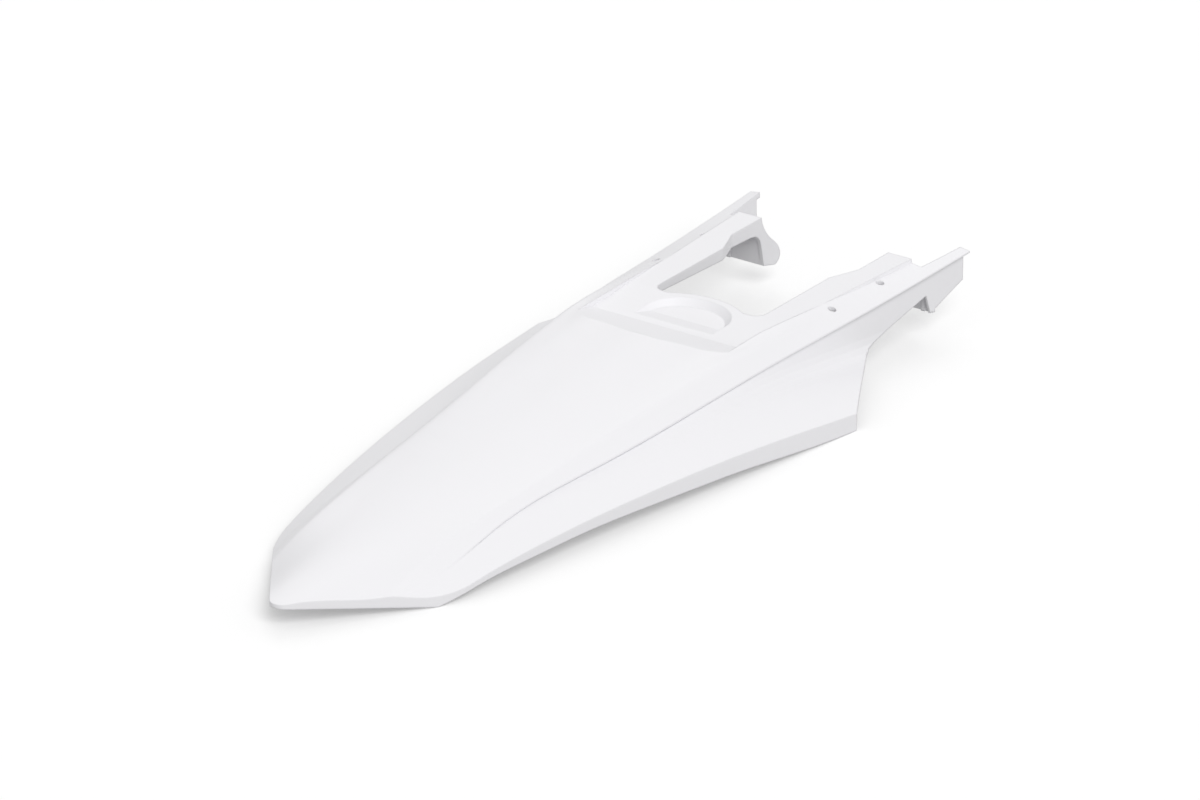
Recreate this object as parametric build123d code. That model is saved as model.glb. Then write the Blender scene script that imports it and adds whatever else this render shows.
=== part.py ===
from build123d import *
import os
from collections import namedtuple
from math import acos, atan2, cos, sin

# Rear fender of an off-road motorcycle, moulded in one piece from glossy plastic.
# Millimetres. While it is drawn, X runs forward from the tip of the tail, Y to the
# left and Z up from the surface that the fender lies on. The finished part is moved
# back by half its length, so that its origin is under the middle of its box.

# Overall sizes
OVERALL_LENGTH = 650.0
WALL = 2.8

# Outline seen from above
TAIL_LENGTH = 92.0
TAIL_WIDTH = 144.0
TIP_RADIUS = 9.0
SHOULDER_RADIUS = 80.0
WING_CORNER_X = 459.0
WING_SPAN = 260.0
WING_ROOT_X = 532.0
WING_ROOT_WIDTH = 175.0

# Lower edges seen from the side
TIP_EDGE_HEIGHT = 14.5
TAIL_REST_X = 85.0
SKIRT_ARCH_HEIGHT = 11.1
# Arch of the skirt between its two resting points, as shares of its length and height
SKIRT_ARCH = [(0.0, 0.0), (0.08, 0.57), (0.2, 0.84), (0.35, 1.0), (0.55, 0.82), (0.72, 0.59),
              (0.87, 0.2), (1.0, 0.0)]
SKIRT_END_RISE = 4.0
WING_ROOT_EDGE_HEIGHT = 16.0
ARM_EDGE_REAR_HEIGHT = 20.0
ARM_EDGE_HEIGHT = 34.0

# Overhanging edge along each side of the panel
LIP_THICKNESS = 1.2
LIP_OVERHANG = 2.0
LIP_UNDERCUT = 0.6

# Hollow curve where the side wall runs out into the wing
VALLEY_BLEND = 11.0

# Seat platform cut into the crown of the panel: it dips behind, at the foot of a ramp
STEP_X = 398.0
STEP_HEIGHT = 59.2
RAMP_LENGTH = 28.0
SEAT_HEIGHT = 55.4
SEAT_DIP = 1.6

# Half-round pocket sunk into the crossbar in front of the step; the ramp runs on into it
POCKET_X = 448.0
POCKET_RAMP_LENGTH = 21.0
POCKET_LENGTH = 21.5
POCKET_WIDTH = 56.0
POCKET_DEPTH = 4.5
POCKET_DRAFT = 5.0

# Opening between the two arms
OPENING_X = 471.0
OPENING_WIDTH = 87.0
OPENING_CORNER_RADIUS = 8.0
OPENING_STEP_X = 552.0
OPENING_STEP_LENGTH = 22.0
OPENING_FRONT_WIDTH = 104.0
NOSE_WIDTH = 60.0
NOSE_LENGTH = 9.0
INNER_LIP_REAR_DEPTH = 5.5
INNER_LIP_FRONT_DEPTH = 11.0

# Front ends of the arms: the shelf stops short and a narrow rail runs on
SHELF_SETBACK = 41.0
SHELF_REAR_WIDTH = 122.0
SHELF_WIDTH = 142.0
RAIL_GAP_WIDTH = 157.0
RAIL_TIP_GAP_WIDTH = 165.0
RAIL_TIP_DEPTH = 7.0
ARM_WALL_SETBACK = 4.5

# Bolt holes in the arms
HOLE_DIAMETER = 5.5
HOLE_REAR_X = 514.0
HOLE_PITCH = 56.0
HOLE_SPACING_Y = 144.0

# Hooked foot under the front end of each arm: a leaning cross wall and an inner flange
FOOT_HEIGHT = 19.0
FOOT_LEAN = 5.0
FOOT_HOOK = 21.5
FOOT_SOLE_HEIGHT = 15.5
FOOT_OUTER_HEIGHT = 19.5
FOOT_FRONT_HEIGHT = 31.5
FOOT_ARCH_LENGTH = 9.0
FOOT_ARCH_HEIGHT = 12.0
# Front edge of the hook, as shares of its reach forward and of its drop
FOOT_FRONT = [(0.0, 0.0), (0.14, 0.2), (0.47, 0.44), (0.9, 0.68), (1.0, 0.82)]

# How far the working solids reach past the finished part
OVERRUN = 30.0
DEPTH = 100.0

SHELF_END_X = OVERALL_LENGTH - SHELF_SETBACK
RAMP_END_X = STEP_X + RAMP_LENGTH
FAR_X = OVERALL_LENGTH + 2 * OVERRUN

# One cross-section of the upper skin. The top of the crown and the wing edge are heights;
# the shoulder of the crown, the crest over the side wall and the valley under it are pairs
# of half width and height. lip is 0 with no overhang at the crest and 1 with all of it.
Section = namedtuple("Section", "x top shoulder crest valley edge lip", defaults=[1])

SECTIONS = [
    Section(-OVERRUN, top=12.2, shoulder=(20, 5), crest=(33, -4), valley=(36, -6), edge=-32, lip=0),
    Section(0, top=17.2, shoulder=(24, 11), crest=(37, 3), valley=(40, 1), edge=-21, lip=0),
    Section(41, top=23, shoulder=(29, 16.4), crest=(44, 8.6), valley=(47, 6.4), edge=-10, lip=0),
    Section(TAIL_LENGTH, top=28.6, shoulder=(44, 22.4), crest=(57, 16.2), valley=(60, 13.9), edge=6, lip=0),
    Section(160, top=36.5, shoulder=(47, 32.6), crest=(59, 27.3), valley=(62, 25.2), edge=15.5, lip=0.5),
    Section(270, top=47.6, shoulder=(55, 43), crest=(68, 35), valley=(71.5, 30), edge=19.8),
    Section(426, top=61, shoulder=(67.5, 55.2), crest=(81.6, 45.8), valley=(84, 31.6), edge=14.6),
    Section(WING_ROOT_X, top=59.5, shoulder=(68, 54), crest=(86, 47.4), valley=(85, 17), edge=7),
    Section(SHELF_END_X, top=56.5, shoulder=(70.5, 52.4), crest=(88.6, 49.4), valley=(86.5, 9), edge=0),
    Section(FAR_X, top=63, shoulder=(75, 61), crest=(93, 54.5), valley=(89, 1), edge=-8),
]
# Share of the drop from the top to the shoulder that is reached halfway out
CROWN_HALFWAY = 0.2
# Shares of the side wall that the two lip lines take up where the overhang has faded
LIP_FADE = (0.15, 0.3)
# Largest share of the side wall that the hollow curve under it may take up
VALLEY_SHARE = 0.6
# Steps of that curve
VALLEY_STEPS = 4


def wing_edge_y(x):
    """Half width of the straight wing edges at a place along the fender."""
    share = (x - TAIL_LENGTH) / (WING_CORNER_X - TAIL_LENGTH)
    return TAIL_WIDTH / 2 + share * (WING_SPAN - TAIL_WIDTH) / 2


def offset_points(points, inset):
    """Points of an open line, moved to its right by the same distance everywhere."""
    normals = []
    for start, end in zip(points, points[1:]):
        along = (Vector(*end) - Vector(*start)).normalized()
        normals.append(Vector(along.Y, -along.X))
    moved = []
    for index, point in enumerate(points):
        before = normals[max(index - 1, 0)]
        after = normals[min(index, len(normals) - 1)]
        miter = (before + after) / (1 + before.dot(after))
        moved.append(Vector(*point) + miter * inset)
    return [(point.X, point.Y) for point in moved]


def hollow_curve(above, valley, beyond):
    """Points of the curve that replaces the sharp valley between two straight sides."""
    above, valley, beyond = Vector(*above), Vector(*valley), Vector(*beyond)
    up = above - valley
    out = beyond - valley
    first = valley + up * min(VALLEY_SHARE, VALLEY_BLEND / up.length)
    last = valley + out * (VALLEY_BLEND / out.length)
    points = []
    for step in range(VALLEY_STEPS + 1):
        share = step / VALLEY_STEPS
        near = first + (valley - first) * share
        far = valley + (last - valley) * share
        point = near + (far - near) * share
        points.append((point.X, point.Y))
    return points


def half_profile(section, inset):
    """Crown points and side points of one half section, from the centre outwards."""
    edge_y = wing_edge_y(section.x)
    slope = (section.edge - section.valley[1]) / (edge_y - section.valley[0])
    reach = (edge_y + OVERRUN, section.edge + slope * OVERRUN)
    corners = [(0, section.top), section.shoulder, section.crest, section.valley, reach]
    if inset:
        corners = offset_points(corners, inset)
        corners[0] = (0, section.top - inset)
        return corners[:3], hollow_curve(*corners[2:]) + corners[4:]
    crest = Vector(*section.crest)
    wall = Vector(*section.valley) - crest
    faded = [crest + wall * share for share in LIP_FADE]
    raised = [
        crest + Vector(0, -LIP_THICKNESS),
        crest + Vector(-LIP_OVERHANG, -LIP_THICKNESS - LIP_UNDERCUT),
    ]
    lip = [low + (high - low) * section.lip for low, high in zip(faded, raised)]
    lip = [(point.X, point.Y) for point in lip]
    return corners[:3], lip + hollow_curve(lip[-1], *corners[3:]) + corners[4:]


def along(points):
    """Smooth line along the fender through one point of every section."""
    first = SECTIONS[0].x
    length = SECTIONS[-1].x - first
    places = [(section.x - first) / length for section in SECTIONS]
    return Edge.make_spline([Vector(*point) for point in points], parameters=places)


def across(x, crown):
    """Crowned line over the panel at one cross-section, from crest to crest."""
    (_, centre), shoulder, crest = crown
    halfway = (shoulder[0] / 2, centre - CROWN_HALFWAY * (centre - shoulder[1]))
    half = [halfway, shoulder, crest]
    line = [(-y, z) for y, z in half[::-1]] + [(0, centre)] + half
    places = [(1 + y / crest[0]) / 2 for y, _ in line]
    return Edge.make_spline([Vector(x, y, z) for y, z in line], parameters=places)


def skin_solid(inset):
    """Solid under the upper skin, or under its inner face when inset is the wall."""
    halves = [half_profile(section, inset) for section in SECTIONS]
    bottom = -DEPTH - inset
    flanks = [[crown[-1]] + side + [(side[-1][0], bottom)] for crown, side in halves]
    places = [section.x for section in SECTIONS]
    corners = list(zip(*flanks))
    left = [along([(x, y, z) for x, (y, z) in zip(places, line)]) for line in corners]
    right = [along([(x, -y, z) for x, (y, z) in zip(places, line)]) for line in corners]
    crowns = [across(x, crown) for x, (crown, _) in zip(places, halves)]
    faces = [Face.make_gordon_surface(crowns, [right[0], left[0]])]
    for edges in (left, right):
        faces += [Face.make_surface_from_curves(a, b) for a, b in zip(edges, edges[1:])]
    faces.append(Face.make_surface_from_curves(left[-1], right[-1]))
    for end in (0, -1):
        ring = [(places[end], y, z) for y, z in flanks[end]]
        ring += [(places[end], -y, z) for y, z in flanks[end][::-1]]
        lines = [Edge.make_line(a, b) for a, b in zip(ring, ring[1:])]
        faces.append(Face(Wire([crowns[end]] + lines)))
    return Solid(Shell(faces))


def column(outline):
    """Upright block with the given outline seen from above."""
    return extrude(Pos(0, 0, -2 * DEPTH) * outline, 4 * DEPTH)


def slab(outline):
    """Block with the given outline seen from the side, wider than the fender."""
    return extrude(Plane.XZ * outline, WING_SPAN, both=True)


def polygon(*points):
    """Flat face with straight sides."""
    return make_face(Polyline(*points, close=True))


def rim_outline():
    """Pointed tail and straight wing edges, run on past the front of the arms."""
    shoulder = Vector(TAIL_LENGTH - TIP_RADIUS, TAIL_WIDTH / 2)
    turn = atan2(shoulder.Y, shoulder.X) + acos(TIP_RADIUS / shoulder.length)
    touch = (TIP_RADIUS + TIP_RADIUS * cos(turn), TIP_RADIUS * sin(turn))
    half = [touch, (TAIL_LENGTH, TAIL_WIDTH / 2), (FAR_X, wing_edge_y(FAR_X))]
    mirrored = [(x, -y) for x, y in half[::-1]]
    tip = ThreePointArc(mirrored[-1], (0, 0), touch)
    outline = make_face([tip, Polyline(*half, *mirrored)])
    corners = outline.vertices().filter_by_position(Axis.X, TAIL_LENGTH - 1, TAIL_LENGTH + 1)
    return fillet(corners, SHOULDER_RADIUS)


def shelf_outline(grow):
    """Seat platform and flat tops of the arms seen from above."""
    half = [
        (STEP_X - OVERRUN, SHELF_REAR_WIDTH / 2 + grow),
        (POCKET_X, SHELF_REAR_WIDTH / 2 + grow),
        (SHELF_END_X, SHELF_WIDTH / 2 + grow),
        (FAR_X, SHELF_WIDTH / 2 + grow),
    ]
    return polygon(*half, *[(x, -y) for x, y in half[::-1]])


def seat_space(inset):
    """Everything above the ramp and the seat platform."""
    top = STEP_HEIGHT + DEPTH
    above = slab(polygon(
        (STEP_X - inset, STEP_HEIGHT - inset),
        (RAMP_END_X - inset, SEAT_HEIGHT - SEAT_DIP - inset),
        (OPENING_X, SEAT_HEIGHT - inset),
        (SHELF_END_X, SEAT_HEIGHT - inset),
        (SHELF_END_X, top),
        (STEP_X - inset, top),
    ))
    return above & column(shelf_outline(inset))


def shelf(inset):
    """Flat tops of the arms, which stand above the sloping bands along their outer sides."""
    ahead = Pos(POCKET_X + FAR_X / 2, 0) * Rectangle(FAR_X, WING_SPAN)
    return extrude(shelf_outline(-inset) & ahead, SEAT_HEIGHT - inset)


def pocket(grow):
    """Half-round pocket with leaning walls; grow makes it larger and deeper all round."""
    floor = SEAT_HEIGHT - POCKET_DEPTH - grow
    top = floor + 2 * POCKET_DEPTH
    lean = POCKET_DRAFT / POCKET_DEPTH
    outlines = []
    for height in (0, 2 * POCKET_DEPTH):
        spread = grow + lean * height
        side = POCKET_WIDTH / 2 + spread
        oval = Ellipse(POCKET_LENGTH + spread, side)
        behind = Pos(-POCKET_LENGTH - spread, 0) * Rectangle(2 * POCKET_LENGTH + 2 * spread, 2 * side)
        outlines.append(Pos(POCKET_X, 0, floor + height) * (oval + behind))
    ramp = slab(polygon(
        (POCKET_X - grow, floor),
        (POCKET_X - grow - 2 * POCKET_RAMP_LENGTH, top),
        (FAR_X, top),
        (FAR_X, floor),
    ))
    return loft(outlines) & ramp


def opening_outline(grow):
    """Gap between the arms, open at the front; grow widens it all along the shelves."""
    rear = OPENING_X - grow
    side = OPENING_WIDTH / 2 + grow
    front_side = OPENING_FRONT_WIDTH / 2 + grow
    end = SHELF_END_X - grow
    tip_slope = (RAIL_TIP_GAP_WIDTH - RAIL_GAP_WIDTH) / 2 / SHELF_SETBACK
    half = [
        (rear, NOSE_WIDTH / 2),
        (rear, side),
        (OPENING_STEP_X, side),
        (OPENING_STEP_X + OPENING_STEP_LENGTH, front_side),
        (end, front_side),
        (end, RAIL_GAP_WIDTH / 2 + grow),
        (FAR_X, RAIL_GAP_WIDTH / 2 + grow + tip_slope * (FAR_X - SHELF_END_X)),
    ]
    mirrored = [(x, -y) for x, y in half[::-1]]
    nose = ThreePointArc(mirrored[-1], (rear + NOSE_LENGTH, 0), half[0])
    outline = make_face([nose, Polyline(*half, *mirrored)])
    corners = outline.vertices().filter_by(lambda v: v.X < rear + 1 and abs(v.Y) > side - 1)
    return fillet(corners, OPENING_CORNER_RADIUS + grow)


def below_lip():
    """Everything under the turned-down lip round the opening, back from the shelf ends."""
    rear = OPENING_X - OVERRUN
    under = slab(polygon(
        (rear, SEAT_HEIGHT - INNER_LIP_REAR_DEPTH),
        (OPENING_X, SEAT_HEIGHT - INNER_LIP_REAR_DEPTH),
        (SHELF_END_X, SEAT_HEIGHT - INNER_LIP_FRONT_DEPTH),
        (SHELF_END_X, -2 * DEPTH),
        (rear, -2 * DEPTH),
    ))
    return column(opening_outline(2 * WALL)) & under


def below_rim():
    """Everything under the lower edges of the tail, the skirts and the outer arm walls."""
    behind = TIP_EDGE_HEIGHT * (1 + OVERRUN / TAIL_REST_X)
    heel = SHELF_END_X - WALL - FOOT_LEAN / 2
    wall_end = OVERALL_LENGTH - ARM_WALL_SETBACK
    rail_under = SEAT_HEIGHT - RAIL_TIP_DEPTH
    skirt = WING_CORNER_X - TAIL_REST_X
    arch = Spline(*[(TAIL_REST_X + skirt * run, SKIRT_ARCH_HEIGHT * rise) for run, rise in SKIRT_ARCH])
    rest = Polyline(
        (WING_CORNER_X, 0),
        (WING_CORNER_X + SKIRT_END_RISE, SKIRT_END_RISE),
        (WING_ROOT_X, WING_ROOT_EDGE_HEIGHT),
        (WING_ROOT_X + WALL, ARM_EDGE_REAR_HEIGHT),
        (heel, ARM_EDGE_HEIGHT),
        (heel + FOOT_LEAN, FOOT_OUTER_HEIGHT),
        (SHELF_END_X, FOOT_OUTER_HEIGHT),
        (wall_end, FOOT_FRONT_HEIGHT),
        (wall_end, rail_under),
        (FAR_X, rail_under),
        (FAR_X, -2 * DEPTH),
        (-OVERRUN, -2 * DEPTH),
        (-OVERRUN, behind),
        (TAIL_REST_X, 0),
    )
    return slab(make_face([arch, rest]))


def ahead_of_wings():
    """What lies in front of the swept front edges of both wings, outside the arms."""
    half = [
        (WING_CORNER_X, WING_SPAN / 2),
        (WING_ROOT_X, WING_ROOT_WIDTH / 2),
        (FAR_X, SECTIONS[-1].crest[0] + WALL),
        (FAR_X, WING_SPAN),
        (WING_CORNER_X, WING_SPAN),
    ]
    left = column(polygon(*half))
    return left + mirror(left, Plane.XZ)


def foot(body):
    """Leaning cross wall and hooked inner flange under the left arm."""
    inner = OPENING_FRONT_WIDTH / 2
    top = SEAT_HEIGHT - WALL / 2
    heel = SHELF_END_X - WALL
    cross = polygon(
        (heel, top),
        (SHELF_END_X, top),
        (SHELF_END_X + FOOT_LEAN, FOOT_HEIGHT),
        (heel + FOOT_LEAN, FOOT_HEIGHT),
    )
    drop = top - FOOT_SOLE_HEIGHT
    front = Spline(*[(SHELF_END_X + FOOT_HOOK * reach, top - drop * fall) for reach, fall in FOOT_FRONT])
    toe = front @ 1
    ball = TangentArc(toe, (toe.X - toe.Y + FOOT_SOLE_HEIGHT, FOOT_SOLE_HEIGHT), tangent=(0, -1))
    lip = SEAT_HEIGHT - INNER_LIP_FRONT_DEPTH
    arch_end = (heel - FOOT_ARCH_LENGTH, lip)
    leg = Line((heel + FOOT_LEAN, FOOT_HEIGHT), (heel + FOOT_LEAN / 2, lip - FOOT_ARCH_HEIGHT))
    arch = Spline(leg @ 1, arch_end, tangents=(leg % 1, (-1, 0)))
    outline = [
        front,
        ball,
        Line(ball @ 1, leg @ 0),
        leg,
        arch,
        Polyline(arch_end, (arch_end[0], top), (SHELF_END_X, top)),
    ]
    wall = extrude(Plane.XZ.offset(-inner) * cross, -WING_SPAN / 4)
    flange = extrude(Plane.XZ.offset(-inner) * make_face(outline), -WALL)
    return (wall & body) + flange


def bolt_holes():
    """Four upright bolt holes, two in each arm."""
    centre = Pos(HOLE_REAR_X + HOLE_PITCH / 2, 0, 0)
    places = GridLocations(HOLE_PITCH, HOLE_SPACING_Y, 2, 2)
    return [centre * place * Cylinder(HOLE_DIAMETER / 2, 4 * DEPTH) for place in places]


def under_skin(inset):
    """Block under the skin, or the hollow inside it, with the seat platform and pocket."""
    outline = rim_outline()
    if inset:
        outline = offset(outline, -inset)
    return (skin_solid(inset) & column(outline)) + shelf(inset) - seat_space(inset) - pocket(inset)


def rear_fender():
    """The whole moulding, resting on its tail shoulders and wing corners."""
    block = under_skin(0)
    hollow = under_skin(WALL)
    shell = (block - column(opening_outline(0))) - (hollow - column(opening_outline(WALL)))
    shell = shell - below_rim() - below_lip()
    left_foot = foot(block)
    shell = shell + left_foot + mirror(left_foot, Plane.XZ)
    ahead = Pos(OVERALL_LENGTH + 2 * OVERRUN, 0, 0) * Box(4 * OVERRUN, 2 * WING_SPAN, 4 * DEPTH)
    shell = shell - ahead_of_wings() - ahead - bolt_holes()
    return Pos(-OVERALL_LENGTH / 2, 0, 0) * shell


os.makedirs("parts", exist_ok=True)
fender = rear_fender()
export_step(fender, "parts/rear_fender.step")
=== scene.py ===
import bmesh
import bpy
from mathutils import Matrix, Vector


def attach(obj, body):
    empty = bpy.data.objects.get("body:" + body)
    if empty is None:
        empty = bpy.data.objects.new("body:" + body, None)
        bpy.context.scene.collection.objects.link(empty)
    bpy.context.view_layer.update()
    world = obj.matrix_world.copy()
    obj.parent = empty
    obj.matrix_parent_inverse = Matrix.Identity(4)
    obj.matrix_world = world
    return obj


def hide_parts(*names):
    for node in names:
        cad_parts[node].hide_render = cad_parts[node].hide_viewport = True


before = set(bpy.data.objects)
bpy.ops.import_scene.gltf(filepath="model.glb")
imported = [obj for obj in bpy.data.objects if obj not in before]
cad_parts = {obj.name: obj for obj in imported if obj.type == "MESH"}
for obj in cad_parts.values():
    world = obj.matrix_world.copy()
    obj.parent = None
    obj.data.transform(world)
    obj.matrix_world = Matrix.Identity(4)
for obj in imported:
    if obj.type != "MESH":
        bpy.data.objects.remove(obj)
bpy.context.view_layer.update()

# Camera at the photograph's viewing angle, with the lens for a frame of 1200 by 800
CAMERA_PLACE = (-5.1202, -3.7770, 2.9020)
CAMERA_RIGHT = (0.58769, -0.80902, -0.01093)
CAMERA_UP = (0.33792, 0.23316, 0.91184)
CAMERA_LENS = 319.68
CAMERA_REACH = 100.0
SENSOR_WIDTH = 36.0

# Studio: an even sky, a broad key on the camera's right and a weak broad lamp behind the part
SKY_LEVEL = 0.68
KEY_FROM = (-0.38, -0.62, 0.69)
KEY_STRENGTH = 1.45
BACK_FROM = (0.60, 0.45, 0.65)
BACK_STRENGTH = 0.32
LAMP_ANGLE = 0.6

# Floor: how pale it is to bounced light and to the eye, and the white added for the eye
FLOOR_SIZE = 30.0
FLOOR_COLOUR = 0.52
FLOOR_SEEN = 0.75
FLOOR_GLOW = 0.31

# Crease along each side of the top, in mm. A row holds the distance from the tail's tip, the
# crease's half width there, how far it rises, and how far the rise reaches inwards and outwards.
CREASE = (
    (42, 44.0, 0.0, 20.0, 9.0),
    (62, 46.5, 1.2, 21.0, 9.0),
    (80, 47.0, 2.2, 22.0, 14.0),
    (105, 47.3, 2.5, 20.0, 12.0),
    (130, 48.6, 2.2, 17.0, 9.0),
    (155, 50.5, 2.0, 15.0, 7.0),
    (200, 54.2, 2.0, 15.5, 7.5),
    (265, 57.5, 2.5, 17.0, 9.5),
    (305, 60.5, 2.8, 16.0, 9.5),
    (350, 64.5, 2.6, 15.0, 12.0),
    (385, 66.5, 2.6, 14.0, 12.0),
    (415, 69.0, 2.6, 9.0, 12.0),
    (450, 71.0, 1.6, 9.0, 11.0),
    (490, 73.0, 0.0, 9.0, 10.0),
)
CREASE_RADIUS = 1.5
TIP_X = -325.0
MM = 1000

# Finer faces by the crease: share of its inward reach, longest edge in metres, rounds of cuts
FINE_SHARE = 0.6
FINE_EDGE = 0.0028
FINE_ROUNDS = 3
# Step for the slope of the rise, in metres
SLOPE_STEP = 0.0002

# Plastic: duller where its surface faces down, with slightly uneven roughness
PLASTIC_COLOUR = (0.895, 0.89, 0.912, 1.0)
PLASTIC_IOR = 1.45
ROUGH_OUTSIDE = 0.40
ROUGH_INSIDE = 0.60
FACES_DOWN = -0.4
FACES_UP = 0.1
UNEVEN_NOISE = {"scale": 9.0, "detail": 4.0}
UNEVEN = 0.05

# Its edges, waves and grain
EDGE_RADIUS = 0.0012
EDGE_SAMPLES = 6
WAVE_NOISE = {"scale": 14.0, "detail": 1.0}
WAVE_BUMP = {"strength": 0.25, "distance": 0.0006}
GRAIN_NOISE = {"scale": 900.0, "detail": 2.0}
GRAIN_BUMP = {"strength": 0.03, "distance": 0.0005}


def new_material(name):
    """Empty node material, with its nodes, its links and its output."""
    material = bpy.data.materials.new(name)
    material.use_nodes = True
    nodes = material.node_tree.nodes
    nodes.clear()
    return material, nodes, material.node_tree.links, nodes.new("ShaderNodeOutputMaterial")


def seen_directly(nodes, links):
    """1 for camera, mirror and glass rays, which see the plain white surroundings."""
    path = nodes.new("ShaderNodeLightPath")
    first = nodes.new("ShaderNodeMath")
    first.operation = "MAXIMUM"
    links.new(path.outputs["Is Camera Ray"], first.inputs[0])
    links.new(path.outputs["Is Glossy Ray"], first.inputs[1])
    second = nodes.new("ShaderNodeMath")
    second.operation = "MAXIMUM"
    links.new(first.outputs[0], second.inputs[0])
    links.new(path.outputs["Is Transmission Ray"], second.inputs[1])
    return second.outputs[0]


def map_range(nodes, links, value, from_low, from_high, to_low, to_high):
    """Value stretched from one range to another."""
    node = nodes.new("ShaderNodeMapRange")
    node.inputs["From Min"].default_value = from_low
    node.inputs["From Max"].default_value = from_high
    node.inputs["To Min"].default_value = to_low
    node.inputs["To Max"].default_value = to_high
    links.new(value, node.inputs["Value"])
    return node.outputs["Result"]


def add(nodes, links, first, second):
    """Sum of two values."""
    node = nodes.new("ShaderNodeMath")
    links.new(first, node.inputs[0])
    links.new(second, node.inputs[1])
    return node.outputs[0]


def make_noise(nodes, links, place, scale, detail):
    """Noise that is fixed to the part."""
    noise = nodes.new("ShaderNodeTexNoise")
    noise.inputs["Scale"].default_value = scale
    noise.inputs["Detail"].default_value = detail
    links.new(place.outputs["Object"], noise.inputs["Vector"])
    return noise.outputs["Fac"]


def make_bump(nodes, links, height, normal, strength, distance):
    """Bump over another normal."""
    bump = nodes.new("ShaderNodeBump")
    bump.inputs["Strength"].default_value = strength
    bump.inputs["Distance"].default_value = distance
    links.new(height, bump.inputs["Height"])
    links.new(normal, bump.inputs["Normal"])
    return bump.outputs["Normal"]


def make_plastic():
    """White moulded plastic with soft edges, faint waves and a fine grain."""
    material, nodes, links, output = new_material("white_moulded_plastic")
    shader = nodes.new("ShaderNodeBsdfPrincipled")
    shader.inputs["Base Color"].default_value = PLASTIC_COLOUR
    shader.inputs["IOR"].default_value = PLASTIC_IOR
    links.new(shader.outputs["BSDF"], output.inputs["Surface"])

    place = nodes.new("ShaderNodeTexCoord")
    split = nodes.new("ShaderNodeSeparateXYZ")
    links.new(place.outputs["Normal"], split.inputs["Vector"])
    facing = split.outputs["Z"]
    side = map_range(nodes, links, facing, FACES_DOWN, FACES_UP, ROUGH_INSIDE, ROUGH_OUTSIDE)
    blotches = make_noise(nodes, links, place, **UNEVEN_NOISE)
    uneven = map_range(nodes, links, blotches, 0.0, 1.0, -UNEVEN, UNEVEN)
    links.new(add(nodes, links, side, uneven), shader.inputs["Roughness"])

    edge = nodes.new("ShaderNodeBevel")
    edge.samples = EDGE_SAMPLES
    edge.inputs["Radius"].default_value = EDGE_RADIUS
    waves = make_noise(nodes, links, place, **WAVE_NOISE)
    grain = make_noise(nodes, links, place, **GRAIN_NOISE)
    waved = make_bump(nodes, links, waves, edge.outputs["Normal"], **WAVE_BUMP)
    grained = make_bump(nodes, links, grain, waved, **GRAIN_BUMP)
    links.new(grained, shader.inputs["Normal"])
    return material


def crease_at(x):
    """Half width, rise and reaches of the crease at a place along the part, or None outside it.

    Each of them runs on a smooth curve through the rows.
    """
    distance = x * MM - TIP_X
    if not CREASE[0][0] < distance < CREASE[-1][0]:
        return None
    last = len(CREASE) - 1
    at = max(i for i in range(last) if CREASE[i][0] <= distance)
    before, low, high, after = (CREASE[min(max(i, 0), last)] for i in range(at - 1, at + 3))
    span = high[0] - low[0]
    share = (distance - low[0]) / span
    found = []
    for k in range(1, len(low)):
        leave = (high[k] - before[k]) / (high[0] - before[0]) * span
        arrive = (after[k] - low[k]) / (after[0] - low[0]) * span
        found.append(
            (2 * share**3 - 3 * share**2 + 1) * low[k]
            + (share**3 - 2 * share**2 + share) * leave
            + (3 * share**2 - 2 * share**3) * high[k]
            + (share**3 - share**2) * arrive
        )
    return found


def crease_rise(x, y):
    """How far the top stands above the CAD surface at a place, all in metres."""
    crease = crease_at(x)
    if crease is None:
        return 0.0
    half, rise, inwards, outwards = crease
    off = abs(y) * MM - half
    rounded = (off**2 + CREASE_RADIUS**2) ** 0.5 - CREASE_RADIUS
    share = rounded / (inwards if off < 0 else outwards)
    return max(rise, 0.0) * max(1.0 - share, 0.0) ** 2 / MM


def near_crease(point):
    """True where the top needs finer faces for the crease."""
    crease = crease_at(point.x)
    if crease is None:
        return False
    half, _, inwards, outwards = crease
    return -FINE_SHARE * inwards < abs(point.y) * MM - half < outwards


def is_long(edge):
    """True for an edge that has to be cut for the crease."""
    return edge.calc_length() > FINE_EDGE and any(near_crease(v.co) for v in edge.verts)


def refine(mesh):
    """Cut the faces by the crease finer, and drop the slivers that lie on each other in pairs."""
    for _ in range(FINE_ROUNDS):
        bmesh.ops.subdivide_edges(mesh, edges=[e for e in mesh.edges if is_long(e)], cuts=1)
        bmesh.ops.triangulate(mesh, faces=[f for f in mesh.faces if len(f.verts) > 3])
    shared = {}
    for face in mesh.faces:
        shared.setdefault(frozenset(face.verts), []).append(face)
    doubled = [face for faces in shared.values() if len(faces) > 1 for face in faces]
    bmesh.ops.delete(mesh, geom=doubled, context="FACES")


def raise_crease(mesh, kept):
    """Lift the surface to the crease, and tilt the kept normals with it."""
    step = SLOPE_STEP
    for vertex in mesh.verts:
        x, y = vertex.co.x, vertex.co.y
        slope_x = (crease_rise(x + step, y) - crease_rise(x - step, y)) / (2 * step)
        slope_y = (crease_rise(x, y + step) - crease_rise(x, y - step)) / (2 * step)
        vertex.co.z += crease_rise(x, y)
        for loop in vertex.link_loops:
            n = loop[kept]
            loop[kept] = (n.x - n.z * slope_x, n.y - n.z * slope_y, n.z)


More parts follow.
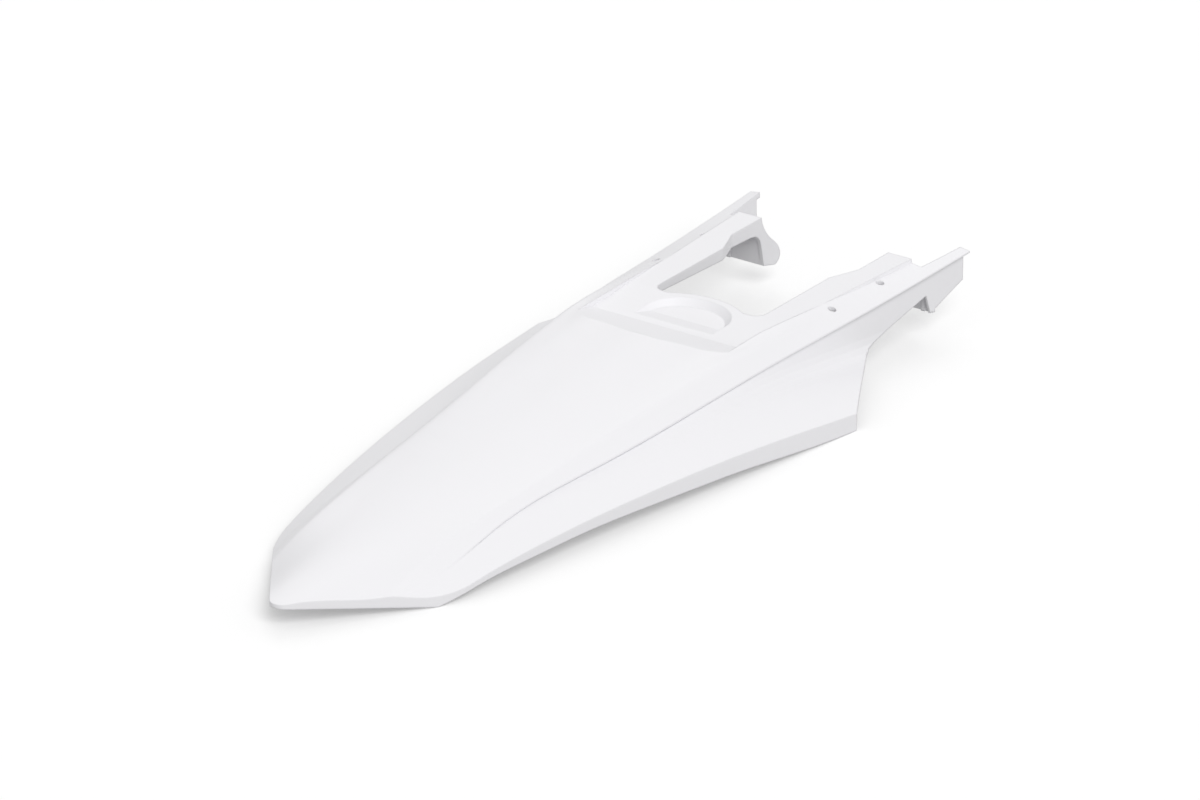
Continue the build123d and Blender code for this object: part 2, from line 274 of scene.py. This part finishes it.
def make_fender(node):
    """Copy of the CAD solid whose top is drawn up to a crease on each side."""
    mesh = bmesh.new()
    mesh.from_mesh(node.data)
    mesh.transform(node.matrix_world)
    kept = mesh.loops.layers.float_vector.new("kept_normal")
    turn = node.matrix_world.to_3x3()
    for face in mesh.faces:
        for loop, index in zip(face.loops, node.data.polygons[face.index].loop_indices):
            loop[kept] = turn @ node.data.corner_normals[index].vector
        face.smooth = True
    refine(mesh)
    raise_crease(mesh, kept)
    normals = [loop[kept].normalized() for face in mesh.faces for loop in face.loops]
    data = bpy.data.meshes.new("fender_shell")
    mesh.to_mesh(data)
    mesh.free()
    data.normals_split_custom_set(normals)
    fender = bpy.data.objects.new("fender_shell", data)
    bpy.context.collection.objects.link(fender)
    return fender


def make_floor():
    """Wide pale floor that stays white round the part and takes its soft shadow."""
    bpy.ops.mesh.primitive_plane_add(size=FLOOR_SIZE, location=(0, 0, 0))
    floor = bpy.context.object
    floor.name = "floor"
    material, nodes, links, output = new_material("floor_white")
    paper = nodes.new("ShaderNodeBsdfDiffuse")
    paper.inputs["Color"].default_value = (FLOOR_COLOUR, FLOOR_COLOUR, FLOOR_COLOUR, 1.0)
    shade = nodes.new("ShaderNodeBsdfDiffuse")
    shade.inputs["Color"].default_value = (FLOOR_SEEN, FLOOR_SEEN, FLOOR_SEEN, 1.0)
    glow = nodes.new("ShaderNodeEmission")
    glow.inputs["Strength"].default_value = FLOOR_GLOW
    both = nodes.new("ShaderNodeAddShader")
    links.new(shade.outputs["BSDF"], both.inputs[0])
    links.new(glow.outputs["Emission"], both.inputs[1])
    choice = nodes.new("ShaderNodeMixShader")
    links.new(seen_directly(nodes, links), choice.inputs["Fac"])
    links.new(paper.outputs["BSDF"], choice.inputs[1])
    links.new(both.outputs["Shader"], choice.inputs[2])
    links.new(choice.outputs["Shader"], output.inputs["Surface"])
    floor.data.materials.append(material)


def make_world():
    """Even soft sky, and plain white where it is seen directly."""
    world = bpy.data.worlds.new("studio")
    bpy.context.scene.world = world
    world.use_nodes = True
    nodes = world.node_tree.nodes
    links = world.node_tree.links
    nodes.clear()
    output = nodes.new("ShaderNodeOutputWorld")
    light = nodes.new("ShaderNodeBackground")
    light.inputs["Strength"].default_value = SKY_LEVEL
    white = nodes.new("ShaderNodeBackground")
    choice = nodes.new("ShaderNodeMixShader")
    links.new(seen_directly(nodes, links), choice.inputs["Fac"])
    links.new(light.outputs["Background"], choice.inputs[1])
    links.new(white.outputs["Background"], choice.inputs[2])
    links.new(choice.outputs["Shader"], output.inputs["Surface"])


def make_lamp(name, direction, strength):
    """Far, very broad lamp that shines from a direction."""
    lamp = bpy.data.lights.new(name, "SUN")
    lamp.energy = strength
    lamp.angle = LAMP_ANGLE
    holder = bpy.data.objects.new(name, lamp)
    bpy.context.collection.objects.link(holder)
    holder.rotation_euler = (-Vector(direction)).to_track_quat("-Z", "Y").to_euler()


def make_camera():
    """Camera that sees the part as the photograph does."""
    camera = bpy.data.cameras.new("camera")
    camera.sensor_width = SENSOR_WIDTH
    camera.lens = CAMERA_LENS
    camera.clip_end = CAMERA_REACH
    holder = bpy.data.objects.new("camera", camera)
    bpy.context.collection.objects.link(holder)
    back = Vector(CAMERA_RIGHT).cross(Vector(CAMERA_UP))
    turn = Matrix((CAMERA_RIGHT, CAMERA_UP, back)).transposed()
    holder.matrix_world = Matrix.Translation(CAMERA_PLACE) @ turn.to_4x4()
    bpy.context.scene.camera = holder


fender = make_fender(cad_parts["rear_fender"])
fender.data.materials.append(make_plastic())
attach(fender, "root")
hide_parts("rear_fender")

make_floor()
make_world()
make_lamp("key", KEY_FROM, KEY_STRENGTH)
make_lamp("back", BACK_FROM, BACK_STRENGTH)
make_camera()
bpy.context.scene.view_settings.view_transform = "Standard"
